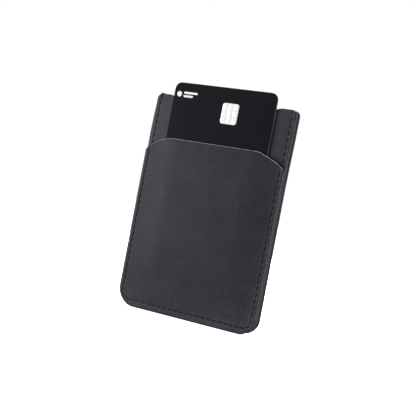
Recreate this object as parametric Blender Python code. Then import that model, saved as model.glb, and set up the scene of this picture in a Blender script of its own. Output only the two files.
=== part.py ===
"""Slim upright leather card holder, with one payment card part-way out of its front pocket.

Frame, in metres: X is the width, -Y is the front, +Z is up the holder towards the pocket's mouth.
The origin is at the middle of the bottom edge. The card slides along Z.
"""

import math

import bmesh
import bpy

MM = 0.001

# Driving dimensions, in millimetres.
BODY_WIDTH = 73.2
BODY_HEIGHT = 101.2
FRONT_LEATHER = 1.1
LINING = 0.3
BACK_LEATHER = 1.2
CORE = 1.4
REAR_LEATHER = 1.2
LAYER_GAP = 0.1

BOTTOM_RADIUS = 8.0
TOP_RADIUS = 2.5
RIM_ROUNDING = 0.3

POCKET_TOP = 80.6
POCKET_SIDE_TOP = 74.2
POCKET_FLAT = 42.0
LINING_SETBACK = 0.6

# How far the pocket's front stands out around the card: a raised plateau with a slight crown on it.
BULGE = 1.0
CROWN = 0.35
BULGE_SIDE_MARGIN = 2.2
BULGE_SIDE_RISE = 6.4
BULGE_BOTTOM = 3.8
BULGE_BOTTOM_RISE = 4.0

SCOOP_DEPTH = 5.0
SCOOP_RADIUS = 85.0
SCOOP_FILLET = 6.0

THREAD = 0.45
GROOVE_WIDTH = 0.8
GROOVE_DEPTH = 0.6
SEAM_SIDE_MARGIN = 1.7
SEAM_BOTTOM_MARGIN = 3.2
SEAM_CORNER = 3.0
SEAM_TOP_MARGIN = 2.8
SEAM_POCKET_TOP = 73.6
SEAM_UPPER_START = 77.4

CARD_WIDTH = 53.98
CARD_LENGTH = 85.6
CARD_THICKNESS = 0.76
CARD_RADIUS = 3.18
CARD_BOTTOM = 21.7
CARD_CLEARANCE = 0.15

CHIP_WIDTH = 8.5
CHIP_LENGTH = 9.6
CHIP_RADIUS = 1.2
CHIP_OFFSET_X = 4.3
CHIP_BELOW_TOP = 11.8
CHIP_THICKNESS = 0.3
CHIP_RECESS = 0.4

STRIPE_WIDTH = 12.7
STRIPE_FROM_EDGE = 4.0
SIGNATURE_WIDTH = 9.5
SIGNATURE_LENGTH = 60.0
SIGNATURE_FROM_STRIPE = 4.0
FILM = 0.1
FILM_RECESS = 0.16
INLAY_CLEARANCE = 0.1

# Each layer's span through the thickness, as (front, back). The whole is centred on zero.
SEWN_THICKNESS = FRONT_LEATHER + LINING + BACK_LEATHER + CORE + REAR_LEATHER + 4 * LAYER_GAP
REAR_FACE = (SEWN_THICKNESS + BULGE + CROWN) / 2
FRONT_FACE = REAR_FACE - SEWN_THICKNESS
FRONT_SPAN = (FRONT_FACE, FRONT_FACE + FRONT_LEATHER)
LINING_SPAN = (FRONT_SPAN[1] + LAYER_GAP, FRONT_SPAN[1] + LAYER_GAP + LINING)
REAR_SPAN = (REAR_FACE - REAR_LEATHER, REAR_FACE)
CORE_SPAN = (REAR_SPAN[0] - LAYER_GAP - CORE, REAR_SPAN[0] - LAYER_GAP)
BACK_SPAN = (CORE_SPAN[0] - LAYER_GAP - BACK_LEATHER, CORE_SPAN[0] - LAYER_GAP)
CARD_CENTRE_Y = BACK_SPAN[0] - CARD_CLEARANCE - CARD_THICKNESS / 2

# Where the side seams run, and where the full-height ones end.
SEAM_X = {
    "left": SEAM_SIDE_MARGIN - BODY_WIDTH / 2,
    "right": BODY_WIDTH / 2 - SEAM_SIDE_MARGIN,
}
SEAM_TOP = BODY_HEIGHT - SEAM_TOP_MARGIN


def clear_scene():
    for obj in list(bpy.data.objects):
        bpy.data.objects.remove(obj, do_unlink=True)


def material(name, colour, roughness, metallic=0.0):
    made = bpy.data.materials.new(name)
    made.use_nodes = True
    shader = made.node_tree.nodes["Principled BSDF"]
    shader.inputs["Base Color"].default_value = (*colour, 1.0)
    shader.inputs["Roughness"].default_value = roughness
    shader.inputs["Metallic"].default_value = metallic
    return made


def arc(centre_x, centre_z, radius, start, end, steps):
    """Points on an arc, with its angles in degrees measured from +X towards +Z."""
    points = []
    for step in range(steps + 1):
        angle = math.radians(start + (end - start) * step / steps)
        points.append((centre_x + radius * math.cos(angle), centre_z + radius * math.sin(angle)))
    return points


def mirrored(points):
    """The same points on the other side of the centre line, in the opposite order."""
    return [(-x, z) for x, z in reversed(points)]


def bottom_right_corner():
    return arc(BODY_WIDTH / 2 - BOTTOM_RADIUS, BOTTOM_RADIUS, BOTTOM_RADIUS, -90, 0, 8)


def scoop_half():
    """Right half of the thumb scoop, from the straight top edge down to the centre line."""
    sunk_centre = BODY_HEIGHT + SCOOP_RADIUS - SCOOP_DEPTH
    reach = SCOOP_RADIUS + SCOOP_FILLET
    drop = sunk_centre - (BODY_HEIGHT - SCOOP_FILLET)
    fillet_x = math.sqrt(reach**2 - drop**2)
    slope = math.degrees(math.asin(fillet_x / reach))
    fillet = arc(fillet_x, BODY_HEIGHT - SCOOP_FILLET, SCOOP_FILLET, 90, 90 + slope, 4)
    dip = arc(0, sunk_centre, SCOOP_RADIUS, slope - 90, -90, 6)
    return fillet + dip[1:]


def body_outline():
    """Outline of the back layers: round bottom corners and a shallow thumb scoop in the top edge."""
    top_corner = arc(BODY_WIDTH / 2 - TOP_RADIUS, BODY_HEIGHT - TOP_RADIUS, TOP_RADIUS, 0, 90, 4)
    right = bottom_right_corner() + top_corner + scoop_half()
    return right + mirrored(right[:-1])


def shoulder(lowered=0.0):
    """Right shoulder of the pocket's mouth: an arc from the side edge up to the flat top."""
    run = (BODY_WIDTH - POCKET_FLAT) / 2
    rise = POCKET_TOP - POCKET_SIDE_TOP
    radius = (run**2 + rise**2) / (2 * rise)
    sweep = math.degrees(math.asin(run / radius))
    centre_z = POCKET_TOP - radius - lowered
    return arc(POCKET_FLAT / 2, centre_z, radius, 90 - sweep, 90, 8)


def pocket_outline(lowered=0.0):
    """Outline of the pocket's layers, with the mouth set down by the given amount."""
    right = bottom_right_corner() + shoulder(lowered)
    return right + mirrored(right)


def rounded_rectangle(centre_x, centre_z, width, length, radius, steps=4):
    points = []
    for quarter, (side, end) in enumerate(((1, -1), (1, 1), (-1, 1), (-1, -1))):
        corner_x = centre_x + side * (width / 2 - radius)
        corner_z = centre_z + end * (length / 2 - radius)
        points += arc(corner_x, corner_z, radius, 90 * quarter - 90, 90 * quarter, steps)
    return points


def ease(share):
    """A smooth step from 0 to 1."""
    share = min(max(share, 0.0), 1.0)
    return share * share * (3 - 2 * share)


def pocket_relief(x, z):
    """How far the pocket's layers stand out from their sewn edge at a point."""
    half = BODY_WIDTH / 2 - BULGE_SIDE_MARGIN
    across = ease((half - abs(x)) / BULGE_SIDE_RISE)
    up = ease((z - BULGE_BOTTOM) / BULGE_BOTTOM_RISE)
    crown = CROWN * max(0.0, 1 - (x / half) ** 2)
    return across * up * (BULGE + crown)


def relief_lines():
    """Cut positions across X and up Z: close together where the relief rises, wide apart elsewhere."""
    half = BODY_WIDTH / 2 - BULGE_SIDE_MARGIN
    rise = [half - BULGE_SIDE_RISE * step / 5 for step in range(6)]
    across = rise + [22.0, 15.0, 8.0]
    up = [BULGE_BOTTOM + BULGE_BOTTOM_RISE * step / 5 for step in range(6)]
    up += [BULGE_BOTTOM + BULGE_BOTTOM_RISE + 14.0 * step for step in range(1, 5)]
    return [-x for x in across] + [0.0] + across, up


def slice_face(shape, point, normal):
    everything = shape.verts[:] + shape.edges[:] + shape.faces[:]
    place = [value * MM for value in point]
    bmesh.ops.bisect_plane(shape, geom=everything, plane_co=place, plane_no=normal)


def raise_pocket(shape):
    """Slices the flat sheet into a grid and pushes it forwards by the pocket's relief."""
    across, up = relief_lines()
    for x in across:
        slice_face(shape, (x, 0, 0), (1, 0, 0))
    for z in up:
        slice_face(shape, (0, 0, z), (0, 0, 1))
    for vert in shape.verts:
        vert.co.y -= pocket_relief(vert.co.x / MM, vert.co.z / MM) * MM


def plate(name, outline, depth, surface, rounding=0.0, parent=None, raised=False):
    """A sheet cut to the outline, from depth[0] at the front to depth[1] at the back."""
    shape = bmesh.new()
    ring = [shape.verts.new((x * MM, depth[0] * MM, z * MM)) for x, z in outline]
    shape.faces.new(ring)
    if raised:
        raise_pocket(shape)
    pulled = bmesh.ops.extrude_face_region(shape, geom=shape.faces[:])
    moved = [item for item in pulled["geom"] if isinstance(item, bmesh.types.BMVert)]
    bmesh.ops.translate(shape, verts=moved, vec=(0, (depth[1] - depth[0]) * MM, 0))
    bmesh.ops.recalc_face_normals(shape, faces=shape.faces)
    mesh = bpy.data.meshes.new(name)
    shape.to_mesh(mesh)
    shape.free()
    obj = bpy.data.objects.new(name, mesh)
    bpy.context.scene.collection.objects.link(obj)
    obj.data.materials.append(surface)
    obj.parent = parent
    if rounding:
        bevel = obj.modifiers.new("rim", "BEVEL")
        bevel.width = rounding * MM
        bevel.segments = 2
        bevel.limit_method = "ANGLE"
        bevel.angle_limit = math.radians(50)
    return obj


def thread_run(name, points, depth, surface, parent=None):
    """A round thread laid along the points, at one depth."""
    curve = bpy.data.curves.new(name, "CURVE")
    curve.dimensions = "3D"
    curve.bevel_depth = THREAD / 2 * MM
    curve.bevel_resolution = 1
    curve.use_fill_caps = True
    line = curve.splines.new("POLY")
    line.points.add(len(points) - 1)
    for spot, (x, z) in zip(line.points, points):
        spot.co = (x * MM, depth * MM, z * MM, 1.0)
    obj = bpy.data.objects.new(name, curve)
    bpy.context.scene.collection.objects.link(obj)
    obj.data.materials.append(surface)
    obj.parent = parent
    return obj


def seam_half(top, inset=0.0):
    """Right half of the U of a seam, moved inwards by inset: along the bottom, then up to the top."""
    side = BODY_WIDTH / 2 - SEAM_SIDE_MARGIN
    centre_x = side - SEAM_CORNER
    centre_z = SEAM_BOTTOM_MARGIN + SEAM_CORNER
    corner = arc(centre_x, centre_z, SEAM_CORNER - inset, -90, 0, 6)
    return corner + [(side - inset, top)]


def seam_outline(top):
    """The U of a seam: down the left side, round the bottom and up the right side."""
    right = seam_half(top)
    return mirrored(right) + right


def seam_band(top):
    """Closed outline of the U-shaped groove that a seam's thread lies in."""
    outer = seam_half(top + GROOVE_WIDTH / 2, -GROOVE_WIDTH / 2)
    inner = seam_half(top + GROOVE_WIDTH / 2, GROOVE_WIDTH / 2)
    return mirrored(outer) + outer + list(reversed(mirrored(inner) + inner))


def cut(obj, name, outline, depth):
    """Cuts the outline's shape out of the object, between two depths."""
    cutter = plate(name, outline, depth, obj.data.materials[0], parent=obj.parent)
    cutter.hide_render = True
    cutter.display_type = "WIRE"
    hole = obj.modifiers.new(name, "BOOLEAN")
    hole.operation = "DIFFERENCE"
    hole.solver = "EXACT"
    hole.object = cutter


def build_pocket(surfaces, parent):
    leather = surfaces["leather"]
    outline = pocket_outline()
    panel = plate("front_panel", outline, FRONT_SPAN, leather, RIM_ROUNDING, parent, raised=True)
    groove = (FRONT_FACE - 1, FRONT_FACE + GROOVE_DEPTH)
    cut(panel, "pocket_seam_groove", seam_band(SEAM_POCKET_TOP), groove)
    outline = pocket_outline(LINING_SETBACK)
    plate("front_lining", outline, LINING_SPAN, surfaces["lining"], parent=parent, raised=True)


def build_back(surfaces, parent):
    outline = body_outline()
    leather = surfaces["leather"]
    back = plate("back_panel", outline, BACK_SPAN, leather, parent=parent)
    plate("back_core", outline, CORE_SPAN, surfaces["board"], parent=parent)
    rear = plate("rear_panel", outline, REAR_SPAN, leather, RIM_ROUNDING, parent)
    groove = (REAR_FACE - GROOVE_DEPTH, REAR_FACE + 1)
    cut(rear, "rear_seam_groove", seam_band(SEAM_TOP), groove)
    groove = (BACK_SPAN[0] - 1, BACK_SPAN[0] + GROOVE_DEPTH)
    middle = (SEAM_UPPER_START + SEAM_TOP) / 2
    length = SEAM_TOP - SEAM_UPPER_START + GROOVE_WIDTH
    for side in ("left", "right"):
        slot = rounded_rectangle(SEAM_X[side], middle, GROOVE_WIDTH, length, 0.1, 1)
        cut(back, f"{side}_upper_seam_groove", slot, groove)


def build_seams(surfaces, parent):
    """Each seam's thread, lying in its groove just below the leather's face."""
    thread = surfaces["thread"]
    sunk = GROOVE_DEPTH / 2
    pocket_run = seam_outline(SEAM_POCKET_TOP)
    thread_run("pocket_seam_thread", pocket_run, FRONT_FACE + sunk, thread, parent)
    thread_run("rear_seam_thread", seam_outline(SEAM_TOP), REAR_FACE - sunk, thread, parent)
    for side in ("left", "right"):
        run = [(SEAM_X[side], SEAM_UPPER_START), (SEAM_X[side], SEAM_TOP)]
        thread_run(f"{side}_upper_seam_thread", run, BACK_SPAN[0] + sunk, thread, parent)


def inlay(card, name, centre, size, radius, face, inwards, depths, surface):
    """A thin piece set into one face of the card, in a recess with room around it.

    inwards is 1 from the front face and -1 from the back face; depths is (piece, recess).
    """
    room = 2 * INLAY_CLEARANCE
    around = rounded_rectangle(*centre, size[0] + room, size[1] + room, radius + INLAY_CLEARANCE)
    cut(card, f"{name}_recess", around, sorted((face - inwards, face + inwards * depths[1])))
    shape = rounded_rectangle(*centre, *size, radius)
    plate(name, shape, sorted((face, face + inwards * depths[0])), surface, parent=card.parent)


def build_card(surfaces):
    """The card and what is set into it, about an empty at the middle of the card's lower edge."""
    slide = bpy.data.objects.new("card_slide", None)
    slide.location = (0, CARD_CENTRE_Y * MM, CARD_BOTTOM * MM)
    bpy.context.scene.collection.objects.link(slide)
    front, back = -CARD_THICKNESS / 2, CARD_THICKNESS / 2
    outline = rounded_rectangle(0, CARD_LENGTH / 2, CARD_WIDTH, CARD_LENGTH, CARD_RADIUS, 6)
    card = plate("card_body", outline, (front, back), surfaces["card"], parent=slide)

    centre = (CHIP_OFFSET_X, CARD_LENGTH - CHIP_BELOW_TOP)
    size = (CHIP_WIDTH, CHIP_LENGTH)
    depths = (CHIP_THICKNESS, CHIP_RECESS)
    inlay(card, "contact_chip", centre, size, CHIP_RADIUS, front, 1, depths, surfaces["chip"])

    depths = (FILM, FILM_RECESS)
    stripe_x = CARD_WIDTH / 2 - STRIPE_FROM_EDGE - STRIPE_WIDTH / 2
    centre = (stripe_x, CARD_LENGTH / 2)
    size = (STRIPE_WIDTH, CARD_LENGTH - 1.2)
    inlay(card, "magnetic_stripe", centre, size, 0.3, back, -1, depths, surfaces["stripe"])

    sign_x = stripe_x - STRIPE_WIDTH / 2 - SIGNATURE_FROM_STRIPE - SIGNATURE_WIDTH / 2
    centre = (sign_x, CARD_LENGTH / 2)
    size = (SIGNATURE_WIDTH, SIGNATURE_LENGTH)
    inlay(card, "signature_strip", centre, size, 0.8, back, -1, depths, surfaces["signature"])


def main():
    clear_scene()
    surfaces = {
        "leather": material("charcoal_leather", (0.048, 0.047, 0.054), 0.6),
        "lining": material("lining_fabric", (0.02, 0.02, 0.022), 0.85),
        "board": material("core_board", (0.055, 0.053, 0.056), 0.8),
        "thread": material("waxed_thread", (0.012, 0.012, 0.014), 0.6),
        "card": material("card_plastic", (0.014, 0.0137, 0.0176), 0.45),
        "chip": material("chip_contacts", (0.85, 0.85, 0.86), 0.3, 1.0),
        "stripe": material("magnetic_film", (0.01, 0.01, 0.01), 0.35),
        "signature": material("signature_film", (0.75, 0.75, 0.72), 0.7),
    }
    holder = bpy.data.objects.new("holder", None)
    bpy.context.scene.collection.objects.link(holder)
    build_pocket(surfaces, holder)
    build_back(surfaces, holder)
    build_seams(surfaces, holder)
    build_card(surfaces)


main()
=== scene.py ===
"""Looks of a slim leather card holder with a payment card in its front pocket, built around the CAD frame.

Lengths are in millimetres until a mesh is made, and colours are linear. X is the width, -Y is the front
and +Z is up the holder. Every sheet is a closed mesh: a front face, rings round its rim and a back face.
"""

import math

import bmesh
import bpy
import numpy as np
from mathutils import Matrix, Vector
from mathutils.geometry import delaunay_2d_cdt


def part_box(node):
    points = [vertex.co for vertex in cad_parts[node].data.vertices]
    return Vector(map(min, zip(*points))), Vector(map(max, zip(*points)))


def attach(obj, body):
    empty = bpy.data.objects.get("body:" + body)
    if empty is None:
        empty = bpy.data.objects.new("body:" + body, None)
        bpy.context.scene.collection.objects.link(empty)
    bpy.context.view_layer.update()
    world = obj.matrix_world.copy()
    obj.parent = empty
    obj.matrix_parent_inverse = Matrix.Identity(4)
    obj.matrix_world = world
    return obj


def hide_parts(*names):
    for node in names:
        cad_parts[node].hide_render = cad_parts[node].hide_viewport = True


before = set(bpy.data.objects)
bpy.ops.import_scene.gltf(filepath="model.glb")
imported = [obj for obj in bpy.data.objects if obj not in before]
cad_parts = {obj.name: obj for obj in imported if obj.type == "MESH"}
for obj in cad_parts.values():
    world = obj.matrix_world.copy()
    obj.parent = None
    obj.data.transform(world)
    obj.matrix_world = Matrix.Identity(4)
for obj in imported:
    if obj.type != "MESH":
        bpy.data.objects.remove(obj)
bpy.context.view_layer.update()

MM = 0.001


def box_mm(node):
    """A CAD node's lowest and highest corners, in millimetres."""
    low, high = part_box(node)
    return np.array(low) / MM, np.array(high) / MM


_, FRONT_HIGH = box_mm("front_panel")
_, LINING_HIGH = box_mm("front_lining")
BACK_LOW, BACK_HIGH = box_mm("back_panel")
_, CORE_HIGH = box_mm("back_core")
REAR_LOW, REAR_HIGH = box_mm("rear_panel")
CARD_LOW, CARD_HIGH = box_mm("card_body")
CHIP_LOW, CHIP_HIGH = box_mm("contact_chip")

HALF_WIDTH = BACK_HIGH[0]
HEIGHT = BACK_HIGH[2]
POCKET_TOP = FRONT_HIGH[2]

# Sizes that these sheets share with the CAD.
FRONT_LEATHER = 1.1
LINING = 0.3
TOP_RADIUS = 2.5
POCKET_SIDE_TOP = 74.2
POCKET_FLAT = 42.0
BULGE = 1.0
CROWN = 0.35
BULGE_SIDE_MARGIN = 2.2
BULGE_HALF = HALF_WIDTH - BULGE_SIDE_MARGIN
BULGE_BOTTOM = 3.8
BULGE_BOTTOM_RISE = 4.0
SCOOP_DEPTH = 5.0
SCOOP_RADIUS = 85.0
SCOOP_FILLET = 6.0
CARD_RADIUS = 3.18
CHIP_RADIUS = 1.2

# Where a holder made by hand strays from the CAD: its bottom corners, the share by which the right
# shoulder of its mouth is straighter, and how far above the front's bottom edge the back layers end.
RIGHT_RADIUS = 7.3
LEFT_RADIUS = 9.3
MOUTH_FLATTER = 0.4
BACK_LIFT = 0.35

# The pocket's outer skin rises gently from its seams, and the room for the card opens faster, because
# the leather is thinner over the card's edges.
SKIN_SIDE_RISE = 16.0
SKIN_BOTTOM_RISE = 34.0
ROOM_SIDE = 4.2
ROOM_SIDE_RISE = 4.4
CARD_ROOM = 0.84
LEATHER_WAVES = 0.05

# Where the sewn edge's layers lie through the thickness, and how the paint over them is rounded.
RIM_FRONT = FRONT_HIGH[1] - FRONT_LEATHER
SKIVED = 0.56
BAND_FRONT = RIM_FRONT + SKIVED + 0.06
BAND_BACK = CORE_HIGH[1] + 0.03
BAND_MIDDLE = (BAND_FRONT + BAND_BACK) / 2
BAND_SETBACK = 0.06
BAND_ROUND = 0.34

# The mouth's edge starts at this height, and grows out of the sewn edge over this length.
MOUTH_EDGE = POCKET_SIDE_TOP - 0.5
MOUTH_TURN = 1.5

# Where the seams run. The whole pattern sits a little to the right.
SEAM_SIDE = HALF_WIDTH - 1.95
SEAM_BOTTOM = 3.05
SEAM_CORNER = 3.0
SEAM_SHIFT = 0.3
POCKET_SEAM_TOP = 73.6
UPPER_SEAM_START = 75.3
FULL_SEAM_TOP = HEIGHT - 2.8
SEAM_OVERRUN = 0.1

# The stitches, which lie almost sunk in the leather.
STITCH_PITCH = 3.0
STITCH_GAP = 1.3
STITCH_SLANT = 0.1
FIRST_UPPER_STITCH = 1.4
THREAD_RADIUS = 0.25
THREAD_SIDES = 12
THREAD_TWIST = 2.4
DIVE_DEPTH = 0.5
DIVE_LENGTH = 0.4

# The marks of a seam in the leather: a groove and a pit at each hole. In its colour the groove is painted a
# little paler, and painted shade lies along each stitch, stronger on the right.
SEAM_SINK = 0.04
GROOVE_REACH = 0.45
GROOVE_SHINE = 0.2
PIT_DEPTH = 0.2
PIT_REACH = 0.22
STITCH_SHADE_REACH = 0.36
LEFT_STITCH_SHADE = 0.4
RIGHT_STITCH_SHADE = 0.62
# The margin outside a seam gets a painted highlight.
MARGIN_SHINE = 0.34
POCKET_MARGIN_PUFF = 0.08
BACK_MARGIN_PUFF = 0.06
THREAD_DEPTH = SEAM_SINK + 0.1 * THREAD_RADIUS

# The spacing of points, and the number of rim rows over which a face's relief and shade fade out.
OUTLINE_STEP = 0.4
SEAM_STEP = STITCH_PITCH / 12
SEAM_ROWS = (-1.5, -1.1, -0.8, -0.6, -0.45, -0.3, -0.15, 0.0, 0.15, 0.3, 0.45, 0.6, 0.8, 1.1, 1.5)
FACE_STEP = 1.5
RIM_FADE_ROWS = 5


def ease(share):
    """A smooth step from 0 to 1."""
    share = np.clip(share, 0.0, 1.0)
    return share * share * (3 - 2 * share)


# ---------------------------------------------------------------- outlines


def arc(centre_x, centre_z, radius, start, end, steps=24):
    """Points on an arc, with its angles in degrees measured from +X towards +Z."""
    angles = np.radians(np.linspace(start, end, steps + 1))
    return np.column_stack([centre_x + radius * np.cos(angles), centre_z + radius * np.sin(angles)])


def mirrored(points):
    """The same points on the other side of the centre line, in the opposite order."""
    return points[::-1] * (-1, 1)


def bottom_corner(radius):
    """The right-hand bottom corner."""
    return arc(HALF_WIDTH - radius, radius, radius, -90, 0)


def scoop_half():
    """Right half of the thumb scoop, from the straight top edge down to the centre line."""
    sunk_centre = HEIGHT + SCOOP_RADIUS - SCOOP_DEPTH
    reach = SCOOP_RADIUS + SCOOP_FILLET
    drop = sunk_centre - (HEIGHT - SCOOP_FILLET)
    fillet_x = math.sqrt(reach**2 - drop**2)
    slope = math.degrees(math.asin(fillet_x / reach))
    fillet = arc(fillet_x, HEIGHT - SCOOP_FILLET, SCOOP_FILLET, 90, 90 + slope)
    dip = arc(0, sunk_centre, SCOOP_RADIUS, slope - 90, -90)
    return np.vstack([fillet, dip[1:]])


def body_outline():
    """Outline of the back layers, anticlockwise as seen from the front."""
    top_corner = arc(HALF_WIDTH - TOP_RADIUS, HEIGHT - TOP_RADIUS, TOP_RADIUS, 0, 90)
    upper = np.vstack([top_corner, scoop_half()])
    right, left = bottom_corner(RIGHT_RADIUS), bottom_corner(LEFT_RADIUS)
    return np.vstack([right, upper, mirrored(upper[:-1]), mirrored(left)])


def mouth_half(lowered, flatter):
    """Right half of the pocket's mouth: an arc from the side edge up to the flat top.

    It can be lowered, and its outer part drawn nearer to its chord by a share of the distance.
    """
    run = HALF_WIDTH - POCKET_FLAT / 2
    rise = POCKET_TOP - POCKET_SIDE_TOP
    radius = (run**2 + rise**2) / (2 * rise)
    sweep = math.degrees(math.asin(run / radius))
    points = arc(POCKET_FLAT / 2, POCKET_TOP - radius, radius, 90 - sweep, 90)
    chord = POCKET_SIDE_TOP + rise * (HALF_WIDTH - points[:, 0]) / run
    out_along = (points[:, 0] - POCKET_FLAT / 2) / run
    points[:, 1] -= (points[:, 1] - chord) * flatter * ease(2 * out_along)
    return points - np.array([0, lowered])


def pocket_outline(lowered=0.0, flatter=0.0):
    """The pocket's outline; the right shoulder of its mouth can be straighter than the left one."""
    right = np.vstack([bottom_corner(RIGHT_RADIUS), mouth_half(lowered, flatter)])
    left = np.vstack([bottom_corner(LEFT_RADIUS), mouth_half(lowered, 0)])
    return np.vstack([right, mirrored(left)])


def rounded_rectangle(low, high, radius):
    """Corners low and high are (x, z)."""
    low_x, low_z, high_x, high_z = low[0] + radius, low[1] + radius, high[0] - radius, high[1] - radius
    centres = ((high_x, low_z), (high_x, high_z), (low_x, high_z), (low_x, low_z))
    return np.vstack([arc(x, z, radius, 90 * n - 90, 90 * n, 12) for n, (x, z) in enumerate(centres)])


def resampled(points, step):
    """The closed outline with its points a step apart, its sharp corners eased a little."""
    closed = np.vstack([points, points[:1]])
    along = np.concatenate([[0], np.cumsum(np.hypot(*np.diff(closed, axis=0).T))])
    count = round(along[-1] / step)
    stations = np.arange(count) * along[-1] / count
    made = np.column_stack([np.interp(stations, along, closed[:, k]) for k in (0, 1)])
    for _ in range(3):
        made = (np.roll(made, 1, 0) + 2 * made + np.roll(made, -1, 0)) / 4
    return made


def inward_of(points):
    """Unit normals into an anticlockwise outline, eased round its corners so that rings don't cross."""
    ahead = np.roll(points, -1, 0) - np.roll(points, 1, 0)
    inward = np.column_stack([-ahead[:, 1], ahead[:, 0]])
    for _ in range(6):
        inward /= np.linalg.norm(inward, axis=1)[:, None]
        inward = np.roll(inward, 1, 0) + 2 * inward + np.roll(inward, -1, 0)
    return inward / np.linalg.norm(inward, axis=1)[:, None]


# ---------------------------------------------------------------- seams


def seam_path(top, step):
    """Points down the left, round the bottom and up the right, a step apart, with their outward normals."""
    corner_x, corner_z = SEAM_SIDE - SEAM_CORNER, SEAM_BOTTOM + SEAM_CORNER
    right = np.vstack([[(0, SEAM_BOTTOM)], arc(corner_x, corner_z, SEAM_CORNER, -90, 0), [(SEAM_SIDE, top)]])
    along = np.concatenate([[0], np.cumsum(np.hypot(*np.diff(right, axis=0).T))])
    stations = np.linspace(0, along[-1], max(2, round(along[-1] / step) + 1))
    half = np.column_stack([np.interp(stations, along, right[:, k]) for k in (0, 1)])
    points = np.vstack([mirrored(half), half[1:]]) + (SEAM_SHIFT, 0)
    ahead = np.gradient(points, axis=0)
    outward = np.column_stack([ahead[:, 1], -ahead[:, 0]])
    return points, outward / np.linalg.norm(outward, axis=1)[:, None]


def straight_path(side, bottom, top, step):
    """Points up one side of the back panel, with their outward normals."""
    heights = np.linspace(bottom, top, round((top - bottom) / step) + 1)
    points = np.column_stack([np.full_like(heights, side * SEAM_SIDE + SEAM_SHIFT), heights])
    return points, np.tile([float(side), 0.0], (len(points), 1))


def rows_beside(path):
    """Points in rows along both sides of a seam's path."""
    points, outward = path
    return np.vstack([points + outward * offset for offset in SEAM_ROWS])


def nearest(points, targets):
    """Distance from each point to the nearest target."""
    found = [np.sqrt(((part[:, None] - targets[None]) ** 2).sum(2).min(1)) for part in chunks(points)]
    return np.concatenate(found)


def chunks(points, size=2000):
    """The points in batches, which keeps the tables of distances small."""
    return [points[start : start + size] for start in range(0, len(points), size)]


def seam_offset(points):
    """Signed distance outwards from the line of the U seam, going on up past its top."""
    over_x = np.abs(points[:, 0] - SEAM_SHIFT) - (SEAM_SIDE - SEAM_CORNER)
    over_z = SEAM_BOTTOM + SEAM_CORNER - points[:, 1]
    outside = np.hypot(np.maximum(over_x, 0), np.maximum(over_z, 0))
    return outside + np.minimum(np.maximum(over_x, over_z), 0) - SEAM_CORNER


def from_stitches(points, starts, ends):
    """Distance from each point to the nearest stitch."""
    along = ends - starts
    found = []
    for part in chunks(points):
        away = part[:, None] - starts[None]
        share = np.clip((away * along).sum(2) / (along ** 2).sum(1), 0, 1)
        found.append(np.sqrt(((away - share[..., None] * along) ** 2).sum(2).min(1)))
    return np.concatenate(found)


def seam_sink_and_painted_shade(points, path, starts, ends):
    """(sink, shade) of a seam: a groove and pits sunk in the leather, the groove painted paler, and painted
    shade along each stitch, darkest on the right.
    """
    pits = np.exp(-((nearest(points, np.vstack([starts, ends])) / PIT_REACH) ** 2))
    groove = np.exp(-((nearest(points, path) / GROOVE_REACH) ** 2))
    # Painted shade: a shadow painted along each stitch, stronger towards the right, away from the key light.
    beside = np.exp(-((from_stitches(points, starts, ends) / STITCH_SHADE_REACH) ** 4))
    rightness = ease((points[:, 0] + 30) / 60)
    strength = LEFT_STITCH_SHADE + (RIGHT_STITCH_SHADE - LEFT_STITCH_SHADE) * rightness
    return SEAM_SINK * groove + PIT_DEPTH * pits, 1 + GROOVE_SHINE * groove - strength * beside


def margin_shade(spots):
    """The margin outside a seam is painted a little paler: a painted highlight on its raised ridge."""
    return 1 + MARGIN_SHINE * ease((seam_offset(spots) - 0.3) / 0.35)


def margin_puff(spots, height):
    """The margin outside a seam is a low round ridge."""
    off = np.maximum(seam_offset(spots), 0)
    rise = 1 - np.exp(-((off / GROOVE_REACH) ** 2))
    return height * rise * (1 - 0.9 * ease((off - 0.7) / 1.4))


# ---------------------------------------------------------------- sheets


def within(points, ring, margin):
    """The points that are inside the ring by at least the margin."""
    kept = []
    start, end = ring, np.roll(ring, -1, 0)
    rise = np.where(end[:, 1] == start[:, 1], 1.0, end[:, 1] - start[:, 1])
    for part in chunks(points):
        x, z = part[:, :1], part[:, 1:]
        spans = (start[:, 1] > z) != (end[:, 1] > z)
        crossing = start[:, 0] + (z - start[:, 1]) * (end[:, 0] - start[:, 0]) / rise
        odd = (spans & (x < crossing)).sum(1) % 2 == 1
        kept.append(part[odd & (nearest(part, ring) > margin)])
    return np.vstack(kept)


def grid_over(ring, step):
    """A grid over the ring's box, with every other row half a step along."""
    low, high = ring.min(0), ring.max(0)
    x, z = np.meshgrid(np.arange(low[0], high[0], step), np.arange(low[1], high[1], step))
    x[1::2] += step / 2
    return np.column_stack([x.ravel(), z.ravel()])


def face_points(ring, seams, step):
    """Points that fill a face: rows along its seams, and a plain grid everywhere else."""
    grid = within(grid_over(ring, step), ring, step * 0.6)
    if not seams:
        return grid
    rows = within(np.vstack([rows_beside(path) for path in seams]), ring, 0.12)
    return np.vstack([rows, grid[nearest(grid, rows) > step * 0.55]])


def triangles(ring, inner):
    """Triangles over the inside of the ring, as indices into its points followed by the inner ones."""
    points = [Vector(point) for point in np.vstack([ring, inner])]
    found = delaunay_2d_cdt(points, [], [list(range(len(ring)))], 1, 1e-6)
    origin = [sources[0] for sources in found[3]]
    return [[origin[corner] for corner in face] for face in found[2]]


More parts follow.
